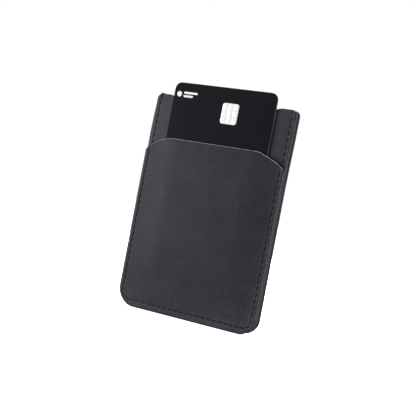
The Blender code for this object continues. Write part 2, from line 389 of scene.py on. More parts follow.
def closed_sheet(outline, rim, seams=(), step=FACE_STEP, back_step=4.0):
    """A closed sheet from rim rows of (inset, depth), from its front ring to its back ring.

    It returns its points, its faces, and for each point the row it's on: -1 on the front face inside the
    first row, and the number of rows on the back face inside the last one.
    """
    inward = inward_of(outline)
    rings = [outline + inward * np.reshape(inset, (-1, 1)) for inset, _ in rim]
    count, last = len(outline), len(rim) - 1
    points = [np.column_stack([ring[:, 0], np.broadcast_to(depth, count), ring[:, 1]])
              for ring, (_, depth) in zip(rings, rim)]
    rows = [np.full(count, row) for row in range(len(rim))]
    faces = []
    for row in range(last):
        for here in range(count):
            ahead = (here + 1) % count
            near, far = row * count, (row + 1) * count
            faces.append([near + here, far + here, far + ahead, near + ahead])
    total = len(rim) * count
    for row, number, spacing, paths in ((0, -1, step, seams), (last, len(rim), back_step, ())):
        inner = face_points(rings[row], paths, spacing)
        for face in triangles(rings[row], inner):
            made = [row * count + corner if corner < count else total + corner - count for corner in face]
            faces.append(made if row else made[::-1])
        depth = np.full(len(inner), float(np.mean(rim[row][1])))
        points.append(np.column_stack([inner[:, 0], depth, inner[:, 1]]))
        rows.append(np.full(len(inner), number))
        total += len(inner)
    return np.vstack(points), faces, np.concatenate(rows)


def mesh_object(name, points, faces, materials, face_slots=None, shade=None):
    """An object from points in millimetres; shade scales its material's colour at each point."""
    mesh = bpy.data.meshes.new(name)
    mesh.from_pydata((points * MM).tolist(), [], faces)
    for surface in materials:
        mesh.materials.append(surface)
    if face_slots is not None:
        mesh.polygons.foreach_set("material_index", np.asarray(face_slots, np.int32))
    values = np.ones(len(points)) if shade is None else shade
    mesh.attributes.new("shade", "FLOAT", "POINT").data.foreach_set("value", values.astype(np.float32))
    shape = bmesh.new()
    shape.from_mesh(mesh)
    bmesh.ops.delete(shape, geom=[vert for vert in shape.verts if not vert.link_faces], context="VERTS")
    bmesh.ops.recalc_face_normals(shape, faces=shape.faces)
    shape.to_mesh(mesh)
    shape.free()
    mesh.shade_smooth()
    obj = bpy.data.objects.new(name, mesh)
    bpy.context.scene.collection.objects.link(obj)
    return obj


def stands_for(obj, body, slot, *nodes):
    """The object moves with a body, and is drawn instead of the CAD nodes."""
    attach(obj, body)
    if nodes:
        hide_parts(*nodes)


def rim_slots(faces, rows, first, last):
    """Material 1 on the faces that lie wholly between two rim rows, and 0 on the others."""
    return [int(all(first <= rows[corner] <= last for corner in face)) for face in faces]


def pillow(share):
    """A rise from 0 to 1 that starts at its steepest and levels out."""
    return 1 - (1 - np.clip(share, 0, 1)) ** 2


def full_bulge(x):
    """The pocket's height over the card, highest along the middle."""
    return BULGE + CROWN * np.maximum(0.0, 1 - (x / BULGE_HALF) ** 2)


def skin_relief(x, z):
    """How far the pocket's outer face stands out from its sewn edge."""
    inside = (BULGE_HALF - np.abs(x)) / SKIN_SIDE_RISE
    across = 0.35 * pillow(inside) + 0.65 * ease(inside)
    up = ease((z - BULGE_BOTTOM) / SKIN_BOTTOM_RISE)
    return across * up * full_bulge(x)


def room_relief(x, z):
    """How far the pocket's inner layers stand out, which makes room for the card."""
    across = ease((HALF_WIDTH - ROOM_SIDE - np.abs(x)) / ROOM_SIDE_RISE)
    up = ease((z - BULGE_BOTTOM) / BULGE_BOTTOM_RISE)
    thinned = CARD_ROOM + (1 - CARD_ROOM / (BULGE + CROWN)) * skin_relief(x, z)
    return np.minimum(across * up * full_bulge(x), thinned)


def unevenness(x, z):
    """A gentle waviness, as in leather that has been handled."""
    waves = ((0.11, 0.05, 0.4), (-0.07, 0.13, 2.1), (0.19, -0.09, 4.0), (0.05, 0.21, 5.2))
    return LEATHER_WAVES * sum(np.sin(a * x + b * z + phase) for a, b, phase in waves) / len(waves)


def band_offset(depths):
    """0 in the middle of the painted edge, and 1 at its two sides."""
    return np.abs((depths - BAND_MIDDLE) / (BAND_BACK - BAND_MIDDLE))


def band(depth):
    """How far the painted edge lies inside the outline: a low round bead over all its layers."""
    return BAND_SETBACK + BAND_ROUND * band_offset(depth) ** 3


def band_shade(depths, heights):
    """The painted edge gets painted shade into the grooves at its two sides, and is painted darker above the
    pocket, where less light reaches it.
    """
    band_crease_shade = 1 - 0.7 * ease((band_offset(depths) - 0.6) / 0.4)
    return band_crease_shade * (1 - 0.42 * ease((heights - 66) / 12))


def eased_back(outline):
    """The back layers' outline: short of the front's bottom edge, and spread above the pocket."""
    x, z = outline.T
    lift = BACK_LIFT * ease((SEAM_BOTTOM + 6 - z) / 6)
    left = np.interp(z, (64, 72, 82, 90, 96, HEIGHT), (0, 0.3, 0.5, 0.3, 0.05, -0.05))
    right = np.interp(z, (66, 76, 88, HEIGHT), (0, 0.15, 0.4, 0.5))
    spread = np.where(x > 0, right, -left) * ease((np.abs(x) - HALF_WIDTH + 6) / 5)
    return outline + np.column_stack([spread, lift])


def back_outline():
    """The outline of the back panel, the core and the rear panel."""
    return eased_back(resampled(body_outline(), OUTLINE_STEP))


def frontness(rows):
    """1 on a sheet's front face, falling to 0 over its first rim rows."""
    return np.clip(1 - np.maximum(rows, 0) / RIM_FADE_ROWS, 0, 1)


def mixed(rows_a, rows_b, share):
    """Rim rows part-way from one list to another, point by point."""
    return [(a[0] + (b[0] - a[0]) * share, a[1] + (b[1] - a[1]) * share) for a, b in zip(rows_a, rows_b)]


# ---------------------------------------------------------------- stitches


def seam_holes(top):
    """Holes all along the U seam, with their outward normals."""
    return seam_path(top, STITCH_PITCH)


def upper_holes(side):
    """Holes up one side of the back panel; the first is hidden behind the pocket's mouth."""
    holes, outward = straight_path(side, UPPER_SEAM_START + FIRST_UPPER_STITCH, FULL_SEAM_TOP, STITCH_PITCH)
    first = np.array([[side * SEAM_SIDE + SEAM_SHIFT, UPPER_SEAM_START]])
    return np.vstack([first, holes]), np.vstack([outward[:1], outward])


def stitch_ends(holes, outward):
    """Where each stitch comes out and goes in: it starts inside the seam's line and ends outside it."""
    ahead = holes[1:] - holes[:-1]
    ahead /= np.linalg.norm(ahead, axis=1)[:, None]
    starts = holes[:-1] + ahead * STITCH_GAP * 0.4 - outward[:-1] * STITCH_SLANT
    ends = holes[1:] - ahead * STITCH_GAP * 0.6 + outward[1:] * STITCH_SLANT * 0.6
    return starts, ends


def thread_tube(start, end):
    """One stitch of twisted thread between two points of (x, y, z), diving into the leather at both ends."""
    share = np.linspace(0, 1, 15)[:, None]
    length = np.linalg.norm(end - start)
    dive = 1 - ease(np.minimum(share, 1 - share) * length / DIVE_LENGTH)
    front = np.array([0.0, -1.0, 0.0]) if start[1] < 1 else np.array([0.0, 1.0, 0.0])
    centre = start + (end - start) * share - front * dive * DIVE_DEPTH
    return twisted_tube(centre, np.cross(end - start, front))


def edge_wrap(x):
    """The thread that locks a seam's top: up the front, over the edge and down the rear."""
    front = [(-0.1, FULL_SEAM_TOP), (-0.62, FULL_SEAM_TOP + 0.3), (-0.66, HEIGHT - 0.4), (-0.3, HEIGHT + 0.1)]
    rear = [(3.2, HEIGHT + 0.1), (3.62, HEIGHT - 0.4), (3.6, FULL_SEAM_TOP + 0.3), (3.1, FULL_SEAM_TOP)]
    corners = np.array([*front, (1.5, HEIGHT + 0.15), *rear])
    stations = np.linspace(0, len(corners) - 1, 60)
    track = np.column_stack([np.interp(stations, np.arange(len(corners)), corners[:, k]) for k in (0, 1)])
    return twisted_tube(np.column_stack([np.full(len(track), x), track]), np.array([1.0, 0.0, 0.0]))


def twisted_tube(centre, side):
    """A tube along a line, with the section of a thread of two twisted plies."""
    rings, sides = len(centre), THREAD_SIDES
    along = np.gradient(centre, axis=0)
    along /= np.linalg.norm(along, axis=1)[:, None]
    side = np.tile(side / np.linalg.norm(side), (rings, 1))
    up = np.cross(side, along)
    angles = np.linspace(0, 2 * math.pi, sides, endpoint=False)[None, :]
    run = np.concatenate([[0], np.cumsum(np.linalg.norm(np.diff(centre, axis=0), axis=1))])
    twist = run[:, None] * 2 * math.pi / THREAD_TWIST
    reach = THREAD_RADIUS * (0.62 + 0.38 * np.abs(np.cos(angles - twist)))
    points = (centre[:, None] + side[:, None] * (reach * np.cos(angles))[..., None]
              + up[:, None] * (reach * np.sin(angles))[..., None]).reshape(-1, 3)
    faces = []
    for ring in range(rings - 1):
        for here in range(sides):
            ahead = (here + 1) % sides
            faces.append([ring * sides + here, ring * sides + ahead,
                          (ring + 1) * sides + ahead, (ring + 1) * sides + here])
    faces.append(list(range(sides))[::-1])
    faces.append([(rings - 1) * sides + here for here in range(sides)])
    return points, faces


def joined(parts):
    """Several (points, faces) as one."""
    points, faces, total = [], [], 0
    for some, theirs in parts:
        points.append(some)
        faces += [[corner + total for corner in face] for face in theirs]
        total += len(some)
    return np.vstack(points), faces


def stitches(holes, outward, depth):
    """A stitch between each hole and the next, slanting outwards, at one depth."""
    starts, ends = stitch_ends(holes, outward)
    return [thread_tube(np.array([start[0], depth, start[1]]), np.array([end[0], depth, end[1]]))
            for start, end in zip(starts, ends)]


# ---------------------------------------------------------------- materials


class Nodes:
    """A small helper for building a material's node tree."""

    def __init__(self, name):
        self.material = bpy.data.materials.new(name)
        self.material.use_nodes = True
        self.tree = self.material.node_tree
        self.shader = self.tree.nodes["Principled BSDF"]

    def add(self, kind, inputs=None, **settings):
        """A node with its settings, and with its inputs linked to sockets or set to values."""
        node = self.tree.nodes.new("ShaderNode" + kind)
        for key, value in settings.items():
            setattr(node, key, value)
        for key, value in (inputs or {}).items():
            if isinstance(value, bpy.types.NodeSocket):
                self.tree.links.new(value, node.inputs[key])
            else:
                node.inputs[key].default_value = value
        return node

    def millimetres(self):
        """The piece's own coordinates, in millimetres."""
        place = self.add("TexCoord").outputs["Object"]
        return self.add("VectorMath", {0: place, "Scale": 1 / MM}, operation="SCALE").outputs[0]

    def noise(self, place, per_mm, detail=3.0, roughness=0.55):
        inputs = {"Vector": place, "Scale": per_mm, "Detail": detail, "Roughness": roughness}
        return self.add("TexNoise", inputs).outputs["Fac"]

    def ranged(self, value, low, high, to_low, to_high):
        inputs = {"Value": value, "From Min": low, "From Max": high, "To Min": to_low, "To Max": to_high}
        return self.add("MapRange", inputs).outputs["Result"]

    def maths(self, operation, first, second):
        return self.add("Math", {0: first, 1: second}, operation=operation).outputs[0]

    def colour_between(self, factor, low, high):
        node = self.add("Mix", data_type="RGBA")
        self.tree.links.new(factor, node.inputs["Factor"])
        # A Mix node's colour inputs are its sockets 6 and 7, and its colour output is socket 2.
        node.inputs[6].default_value = (*low, 1)
        node.inputs[7].default_value = (*high, 1)
        return node.outputs[2]

    def scaled_colour(self, colour, factor):
        return self.add("VectorMath", {0: colour, "Scale": factor}, operation="SCALE").outputs[0]

    def shade(self):
        """The light and dark that a mesh carries on its points."""
        return self.add("Attribute", attribute_name="shade").outputs["Fac"]

    def bump(self, height, distance_mm, strength=1.0):
        inputs = {"Height": height, "Distance": distance_mm * MM, "Strength": strength}
        return self.add("Bump", inputs).outputs["Normal"]

    def finish(self, colour=None, roughness=None, normal=None, **fixed):
        """Link what varies, and set what's the same all over on the shader itself."""
        for socket, value in (("Base Color", colour), ("Roughness", roughness), ("Normal", normal)):
            if value is not None:
                self.tree.links.new(value, self.shader.inputs[socket])
        for key, value in fixed.items():
            self.shader.inputs[key.replace("_", " ")].default_value = value
        return self.material


def leather_material():
    """Smooth matt calf leather in charcoal: fine closed grain, faint mottling, a few pale specks."""
    nodes = Nodes("charcoal_leather")
    place = nodes.millimetres()
    cloud = nodes.noise(place, 0.09, 5, 0.6)
    mottle = nodes.noise(place, 1.1, 5, 0.7)
    tone = nodes.maths("ADD", nodes.maths("MULTIPLY", cloud, 0.45), nodes.maths("MULTIPLY", mottle, 0.55))
    tone = nodes.ranged(tone, 0.36, 0.64, 0, 1)
    grain = nodes.ranged(nodes.noise(place, 2.2, 2, 0.5), 0.3, 0.7, 0.86, 1.14)
    colour = nodes.colour_between(tone, (0.0186, 0.0174, 0.0235), (0.0340, 0.0320, 0.0424))
    specks = nodes.add("TexVoronoi", {"Vector": place, "Scale": 0.16, "Randomness": 1.0}).outputs["Distance"]
    speck = nodes.maths("MULTIPLY", nodes.ranged(specks, 0.0, 0.06, 1.6, 1.0), grain)
    colour = nodes.scaled_colour(colour, nodes.maths("MULTIPLY", speck, nodes.shade()))
    cells = nodes.add("TexVoronoi", {"Vector": place, "Scale": 2.4, "Randomness": 0.9}, feature="SMOOTH_F1")
    fine = nodes.noise(place, 5.0, 3, 0.6)
    height = nodes.maths("ADD", cells.outputs["Distance"], nodes.maths("MULTIPLY", fine, 0.6))
    roughness = nodes.ranged(mottle, 0.35, 0.65, 0.50, 0.62)
    return nodes.finish(colour, roughness, nodes.bump(height, 0.035, 0.6), Specular_IOR_Level=0.14)


def edge_material(name, low, high, roughness):
    """Edge paint: an even satin film with slight ripples along it."""
    nodes = Nodes(name)
    place = nodes.millimetres()
    drift = nodes.noise(place, 0.5, 3)
    tone = nodes.ranged(drift, 0.35, 0.65, 0, 1)
    colour = nodes.scaled_colour(nodes.colour_between(tone, low, high), nodes.shade())
    fine = nodes.maths("MULTIPLY", nodes.noise(place, 4, 2), 0.3)
    ripple = nodes.maths("ADD", nodes.noise(place, 1.1, 2), fine)
    rough = nodes.ranged(drift, 0.3, 0.7, roughness - 0.04, roughness + 0.06)
    return nodes.finish(colour, rough, nodes.bump(ripple, 0.05, 0.6), Specular_IOR_Level=0.5)


def lining_material():
    """Black twill: fine diagonal ribs crossed by a finer weave."""
    nodes = Nodes("lining_twill")
    place = nodes.millimetres()
    ribs = nodes.add("TexWave", {"Vector": place, "Scale": 0.75, "Distortion": 0.6, "Detail": 2.0},
                     bands_direction="DIAGONAL").outputs["Fac"]
    threads = nodes.add("TexWave", {"Vector": place, "Scale": 1.6, "Distortion": 0.4}, bands_direction="X")
    weave = nodes.maths("ADD", ribs, nodes.maths("MULTIPLY", threads.outputs["Fac"], 0.5))
    tone = nodes.ranged(weave, 0.2, 1.3, 0, 1)
    colour = nodes.colour_between(tone, (0.006, 0.006, 0.007), (0.016, 0.016, 0.018))
    return nodes.finish(colour, None, nodes.bump(weave, 0.03), Roughness=0.9, Sheen_Weight=0.1)


def thread_material():
    """Waxed polyester thread: fibres that run with the twist."""
    nodes = Nodes("waxed_thread")
    place = nodes.millimetres()
    fibres = nodes.noise(place, 9.0, 3, 0.7)
    tone = nodes.ranged(fibres, 0.35, 0.65, 0, 1)
    colour = nodes.scaled_colour(
        nodes.colour_between(tone, (0.0045, 0.0043, 0.0055), (0.0105, 0.010, 0.0125)), nodes.shade())
    rough = nodes.ranged(fibres, 0.3, 0.7, 0.6, 0.75)
    return nodes.finish(colour, rough, nodes.bump(fibres, 0.02, 0.8), Specular_IOR_Level=0.1)


def card_material():
    """Soft-touch black plastic with an almost invisible texture."""
    nodes = Nodes("card_plastic")
    place = nodes.millimetres()
    fine = nodes.noise(place, 7.0, 2)
    cloud = nodes.noise(place, 0.08, 2)
    tone = nodes.ranged(cloud, 0.3, 0.7, 0, 1)
    colour = nodes.colour_between(tone, (0.0072, 0.0066, 0.0105), (0.0078, 0.0072, 0.0112))
    rough = nodes.ranged(fine, 0.3, 0.7, 0.55, 0.62)
    return nodes.finish(colour, rough, nodes.bump(fine, 0.004, 0.5), Specular_IOR_Level=0.05)


def card_edge_material():
    """The card's milled edge, where the grey core shows between its two black faces."""
    nodes = Nodes("card_milled_edge")
    place = nodes.millimetres()
    mill = nodes.noise(place, 4.0, 2)
    tone = nodes.ranged(mill, 0.3, 0.7, 0, 1)
    colour = nodes.colour_between(tone, (0.10, 0.10, 0.115), (0.14, 0.14, 0.155))
    return nodes.finish(colour, None, nodes.bump(mill, 0.01, 0.6), Roughness=0.5, Specular_IOR_Level=0.3)


def metal_material(name, low, high, metallic, roughness):
    """Plated contact metal with fine brushing."""
    nodes = Nodes(name)
    place = nodes.millimetres()
    brushed = nodes.add("VectorMath", {0: place, 1: (12.0, 12.0, 0.6)}, operation="MULTIPLY").outputs[0]
    marks = nodes.noise(brushed, 1.0, 3)
    tone = nodes.ranged(marks, 0.3, 0.7, 0, 1)
    colour = nodes.colour_between(tone, low, high)
    rough = nodes.ranged(marks, 0.3, 0.7, roughness - 0.04, roughness + 0.05)
    return nodes.finish(colour, rough, nodes.bump(marks, 0.003, 0.5), Metallic=metallic)


def film_material(name, low, high, roughness, per_mm):
    """Thin printed film, such as the magnetic stripe, the signature strip or the mark."""
    nodes = Nodes(name)
    place = nodes.millimetres()
    specks = nodes.noise(place, per_mm, 3)
    tone = nodes.ranged(specks, 0.35, 0.65, 0, 1)
    colour = nodes.colour_between(tone, low, high)
    rough = nodes.ranged(specks, 0.3, 0.7, roughness - 0.05, roughness + 0.05)
    return nodes.finish(colour, rough, nodes.bump(specks, 0.003, 0.5), Specular_IOR_Level=0.3)


# ---------------------------------------------------------------- holder


def front_rim(mouth):
    """The front leather's rim rows: skived thin where it's sewn, full and rounded along the mouth."""
    sewn = [(0.8, 0), (0.5, 0.005), (0.3, 0.03), (0.16, 0.08), (0.07, 0.15), (0.02, 0.24), (0.03, 0.36),
            (0.14, 0.48), (0.5, SKIVED), (2.0, FRONT_LEATHER)]
    full = [(0.8, 0), (0.5, 0.005), (0.3, 0.02), (0.16, 0.06), (0.06, 0.14), (0.01, 0.3), (0.0, 0.6),
            (0.08, 0.84), (0.28, 0.98), (2.0, FRONT_LEATHER)]
    return [(inset, RIM_FRONT + depth) for inset, depth in mixed(sewn, full, mouth)]


def bulged(points):
    """How far the front leather stands out: its face by the skin's relief, its back by the room's."""
    x, depth, z = points.T
    inner, skin = room_relief(x, z), skin_relief(x, z)
    skinned = np.clip(1 - (depth - RIM_FRONT) / FRONT_LEATHER, 0, 1)
    return inner + (skin - inner) * skinned


def front_shade(spots, rows, marks):
    """The front leather's light and dark: its seam, painted shade along its rim's grooves and under its
    bottom edge, darker mouth ends, and painted light low down, to the right and inside the right seam.
    """
    x, z = spots.T
    on_front = frontness(rows)
    # Painted shade in the groove between the front leather and the painted edge behind it.
    painted_crease_shade = np.where((rows >= 7) & (rows < 9), 0.3, np.where((rows >= 4) & (rows < 7), 0.6, 1))
    painted_crease_shade = np.where(z < POCKET_SIDE_TOP, painted_crease_shade, 1)
    # The mouth's ends are darker; along the bottom edge it is painted shade on the edge's underside.
    mouth_end = (rows >= 3) & (z > MOUTH_EDGE) & (z < POCKET_SIDE_TOP + 2.2)
    bottom_edge = (rows >= 1) & (z < SEAM_BOTTOM)
    dark = np.where(mouth_end, 0.5, 1) * np.where(bottom_edge, 0.5, 1)
    # Painted light: lighter towards the bottom and the right, with a painted highlight just inside the right
    # seam.
    painted_light = 1 + (0.13 + 0.15 * ease(x / 34)) * (1 - ease(z / 34))
    inside_seam_highlight = np.exp(-(((seam_offset(spots) + 0.95) / 0.6) ** 2))
    painted_light *= 1 + 0.28 * inside_seam_highlight * on_front * ease(x / 30)
    return (1 + (marks * margin_shade(spots) - 1) * on_front) * painted_crease_shade * dark * painted_light


def front_slots(faces, rows, heights):
    """Dark paint round the sewn rim, and pale paint along the mouth, where it starts a row later."""
    at_mouth = heights > MOUTH_EDGE
    dark, pale = rim_slots(faces, rows, 2, 8), rim_slots(faces, rows, 3, 8)
    return [2 * thin if all(at_mouth[corner] for corner in face) else wide
            for face, wide, thin in zip(faces, dark, pale)]


def build_front(leather, paint, bright):
    """The pocket's front leather, with the seam that holds the pocket."""
    outline = resampled(pocket_outline(flatter=MOUTH_FLATTER), OUTLINE_STEP)
    mouth = ease((outline[:, 1] - POCKET_SIDE_TOP + 0.2) / MOUTH_TURN)
    path = seam_path(POCKET_SEAM_TOP + 1.6, SEAM_STEP)
    points, faces, rows = closed_sheet(outline, front_rim(mouth), [path])
    spots = points[:, [0, 2]]
    sink, marks = seam_sink_and_painted_shade(spots, path[0], *stitch_ends(*seam_holes(POCKET_SEAM_TOP)))
    surface = sink - margin_puff(spots, POCKET_MARGIN_PUFF) + unevenness(*spots.T)
    points[:, 1] += frontness(rows) * surface - bulged(points)
    slots = front_slots(faces, rows, spots[:, 1])
    shade = front_shade(spots, rows, marks)
    obj = mesh_object("front_leather", points, faces, [leather, paint, bright], slots, shade)
    stands_for(obj, "holder", "leather", "front_panel")


def build_lining(cloth, paint):
    """The pocket's lining, which stops short of the mouth and is painted over along its sewn edge."""
    setback = POCKET_TOP - LINING_HIGH[2]
    outline = eased_back(resampled(pocket_outline(setback, MOUTH_FLATTER / 4), OUTLINE_STEP))
    mouth = ease((outline[:, 1] - POCKET_SIDE_TOP + setback + 0.2) / MOUTH_TURN)
    front, back = LINING_HIGH[1] - LINING, LINING_HIGH[1]
    edge_front, edge_back = BAND_FRONT, BACK_LOW[1] - 0.03
    middle = (edge_front + edge_back) / 2
    sewn = [(2.0, front), (0.6, edge_front), (band(edge_front), edge_front + 0.03), (band(middle), middle),
            (band(edge_back), edge_back), (0.6, edge_back), (2.0, back)]
    edge = [(2.0, front), (0.3, front), (0.1, front + 0.03), (0.0, (front + back) / 2),
            (0.05, back - 0.04), (0.3, back), (2.0, back)]
    points, faces, rows = closed_sheet(outline, mixed(sewn, edge, mouth), step=3.0, back_step=3.0)
    x, depths, heights = points.T
    sewn_rim = (rows >= 1) & (rows <= 5) & (heights < POCKET_SIDE_TOP)
    # The sewn rim gets the painted edge's painted shade.
    shade = np.where(sewn_rim, band_shade(depths, heights), 1)
    points[:, 1] -= room_relief(x, heights)
    slots = [slot * int(min(heights[corner] for corner in face) < MOUTH_EDGE)
             for face, slot in zip(faces, rim_slots(faces, rows, 1, 5))]
    obj = mesh_object("pocket_lining", points, faces, [cloth, paint], slots, shade)
    stands_for(obj, "holder", "lining", "front_lining")


def back_shade(spots, rows, marks, on_front):
    """The back leather is paler all over, painted lighter still towards its left, where the key light falls,
    with the margin's painted highlight and a darker top rim.
    """
    x, z = spots.T
    margin_highlight = 1 + (margin_shade(spots) - 1) * np.where(x < 0, 0.25, 0.8)
    # Paler all over, and painted light towards the left.
    tone = 1.32 + 0.25 * ease(-x / 20)
    top_edge = np.clip((z - HEIGHT + SCOOP_DEPTH + 2) / 2, 0, 1) * ((rows >= 1) & (rows <= 8))
    return tone * (1 + (marks * margin_highlight - 1) * on_front) * (1 - 0.2 * top_edge)


def build_back(leather, paint):
    """The back panel's leather: its face shows beside and above the pocket."""
    outline = back_outline()
    shown = ease((outline[:, 1] - POCKET_SIDE_TOP) / MOUTH_TURN)
    face, back = BACK_LOW[1], BACK_HIGH[1]
    covered = [(0.9, face), (0.8, face), (0.5, face), (band(face) + 0.03, face), (band(face), face + 0.04),
               (band(face + 0.2), face + 0.2), (band(0.2), 0.2), (band(back), back), (0.6, back), (2.0, back)]
    open_edge = [(0.9, face), (0.6, face + 0.01), (0.4, face + 0.04), (0.25, face + 0.1), (0.14, face + 0.19),
                 (0.08, face + 0.32), (band(0.2), 0.2), (band(back), back), (0.6, back), (2.0, back)]
    end = FULL_SEAM_TOP + SEAM_OVERRUN
    paths = [straight_path(side, UPPER_SEAM_START, end, SEAM_STEP) for side in (-1, 1)]
    points, faces, rows = closed_sheet(outline, mixed(covered, open_edge, shown), paths)
    spots = points[:, [0, 2]]
    on_front = frontness(rows) * (spots[:, 1] > POCKET_SIDE_TOP)
    left, right = (stitch_ends(*upper_holes(side)) for side in (-1, 1))
    starts, ends = np.vstack([left[0], right[0]]), np.vstack([left[1], right[1]])
    sink, marks = seam_sink_and_painted_shade(spots, np.vstack([path[0] for path in paths]), starts, ends)
    points[:, 1] += on_front * (sink - margin_puff(spots, BACK_MARGIN_PUFF))
    shade = back_shade(spots, rows, marks, on_front)
    obj = mesh_object("back_leather", points, faces, [leather, paint], rim_slots(faces, rows, 2, 8), shade)
    stands_for(obj, "holder", "leather", "back_panel")


def build_core(paint):
    """The stiff core between the two back leathers; only its painted edge shows."""
    outline = back_outline()
    front, back = BACK_HIGH[1] + 0.025, BAND_BACK
    depths = np.linspace(front, back, 7)
    rim = [(2.0, front), *[(band(depth), depth) for depth in depths], (2.0, back)]
    points, faces, _ = closed_sheet(outline, rim, step=6.0, back_step=6.0)
    # The core's painted edge carries painted shade in the grooves at its sides and above the pocket.
    obj = mesh_object("core_edge", points, faces, [paint], shade=band_shade(points[:, 1], points[:, 2]))
    stands_for(obj, "holder", "core", "back_core")


def build_rear(leather, paint):
    """The rear leather, with its own seam all the way round."""
    outline = back_outline()
    front, face = REAR_LOW[1], REAR_HIGH[1]
    rim = [(2.0, front), (0.6, front), (0.3, front + 0.04), (0.1, front + 0.14), (0.02, front + 0.32),
           (0.0, front + 0.7), (0.03, front + 0.95), (0.1, front + 1.07), (0.22, front + 1.14),
           (0.42, front + 1.185), (0.8, face)]
    path = seam_path(FULL_SEAM_TOP + SEAM_OVERRUN, SEAM_STEP)
    # The rear face is the one with the seam, so the sheet is made with its rows the other way round.
    flipped = [(inset, -depth) for inset, depth in reversed(rim)]
    points, faces, rows = closed_sheet(outline, flipped, [path])
    points[:, 1] *= -1
    sink, marks = seam_sink_and_painted_shade(points[:, [0, 2]], path[0], *stitch_ends(*seam_holes(FULL_SEAM_TOP)))
    points[:, 1] -= frontness(rows) * sink
    # Painted shade on the rear leather's rim where it meets the core's painted edge.
    painted_crease_shade = np.where(rows >= 7, 0.4, 1.0)
    shade = (1 + (marks - 1) * frontness(rows)) * painted_crease_shade
    obj = mesh_object("rear_leather", points, faces, [leather, paint], rim_slots(faces, rows, 2, 9), shade)
    stands_for(obj, "holder", "leather", "rear_panel")


def build_stitches(thread):
    """The saddle stitches: round the pocket, up both sides of the back panel, and round the rear."""
    points, faces = joined(stitches(*seam_holes(POCKET_SEAM_TOP), RIM_FRONT + THREAD_DEPTH))
    # Painted light: the thread is lighter towards the left, where the key light falls, and a little lighter
    # along the bottom.
    painted_thread_light = 1.9 - 0.7 * points[:, 0] / SEAM_SIDE + 0.1 * (points[:, 2] < 2 * SEAM_BOTTOM)
    obj = mesh_object("pocket_stitches", points, faces, [thread], shade=painted_thread_light)
    stands_for(obj, "holder", "thread", "pocket_seam_thread")
    for side, label in ((-1, "left"), (1, "right")):
        parts = stitches(*upper_holes(side), BACK_LOW[1] + THREAD_DEPTH)
        if side < 0:
            parts.append(edge_wrap(-SEAM_SIDE + SEAM_SHIFT))
        points, faces = joined(parts)
        # Painted light: the left side's thread is lighter than the right's.
        painted_thread_light = np.full(len(points), 2.0 - 0.8 * side)
        obj = mesh_object(f"{label}_upper_stitches", points, faces, [thread], shade=painted_thread_light)
        stands_for(obj, "holder", "thread", f"{label}_upper_seam_thread")
    parts = stitches(*seam_holes(FULL_SEAM_TOP), REAR_HIGH[1] - THREAD_DEPTH)
    obj = mesh_object("rear_stitches", *joined(parts), [thread])
    stands_for(obj, "holder", "thread", "rear_seam_thread")


# ---------------------------------------------------------------- card


def build_card(plastic, milled):
    """The card, with its milled edge between its two faces."""
    outline = resampled(rounded_rectangle(CARD_LOW[[0, 2]], CARD_HIGH[[0, 2]], CARD_RADIUS), 0.5)
    front, back = CARD_LOW[1], CARD_HIGH[1]
    rim = [(0.3, front), (0.12, front + 0.005), (0.04, front + 0.03), (0.0, front + 0.09), (0.0, back - 0.09),
           (0.04, back - 0.03), (0.12, back - 0.005), (0.3, back)]
    points, faces, rows = closed_sheet(outline, rim, step=6.0, back_step=6.0)
    obj = mesh_object("card", points, faces, [plastic, milled], rim_slots(faces, rows, 2, 5))
    stands_for(obj, "card", "card", "card_body")


def pad(outline, front, back):
    """A thin plate with softly broken edges, as (points, faces)."""
    rim = [(0.06, front), (0.0, front + 0.02), (0.0, back), (0.06, back)]
    points, faces, _ = closed_sheet(resampled(outline, 0.12), rim, step=1.0, back_step=1.0)
    return points, faces


def cut_corners(low, high, radii):
    """A rectangle whose corners have their own radii: lower right, upper right, upper left, lower left."""
    (left, bottom), (right, top) = low, high
    places = ((right, bottom, -1, 1), (right, top, -1, -1), (left, top, 1, -1), (left, bottom, 1, 1))
    parts = []
    for quarter, ((x, z, turn_x, turn_z), radius) in enumerate(zip(places, radii)):
        centre_x, centre_z = x + turn_x * radius, z + turn_z * radius
        parts.append(arc(centre_x, centre_z, radius, 90 * quarter - 90, 90 * quarter, 6))
    return np.vstack(parts)


def contact_outlines(low, high):
    """Three pads up each side and a tall one between them; the outermost corners follow the plate's."""
    gap, column, border, broken = 0.16, 2.75, 0.1, 0.12
    row = (high[1] - low[1] - 2 * gap - 2 * border) / 3
    outer = CHIP_RADIUS - border
    outlines = []
    for level in range(3):
        bottom = low[1] + border + level * (row + gap)
        lower, upper = outer if level == 0 else broken, outer if level == 2 else broken
        right_low, right_high = (high[0] - column, bottom), (high[0] - border, bottom + row)
        outlines.append(cut_corners(right_low, right_high, (lower, upper, broken, broken)))
        left_low, left_high = (low[0] + border, bottom), (low[0] + column, bottom + row)
        outlines.append(cut_corners(left_low, left_high, (broken, broken, upper, lower)))
    middle_low = (low[0] + column + gap, low[1] + border)
    middle_high = (high[0] - column - gap, high[1] - border)
    return [*outlines, rounded_rectangle(middle_low, middle_high, 0.5)]


def build_chip(plate, contact):
    """A contact chip: a plate let into the card, with separate pads on it."""
    low, high = CHIP_LOW[[0, 2]], CHIP_HIGH[[0, 2]]
    face = CARD_LOW[1]
    base = pad(rounded_rectangle(low, high, CHIP_RADIUS), face - 0.02, face + 0.12)
    stands_for(mesh_object("chip_plate", *base, [plate]), "card", "chip", "contact_chip")
    pads = joined([pad(outline, face - 0.05, face - 0.005) for outline in contact_outlines(low, high)])
    stands_for(mesh_object("chip_contacts", *pads, [contact]), "card", "chip")


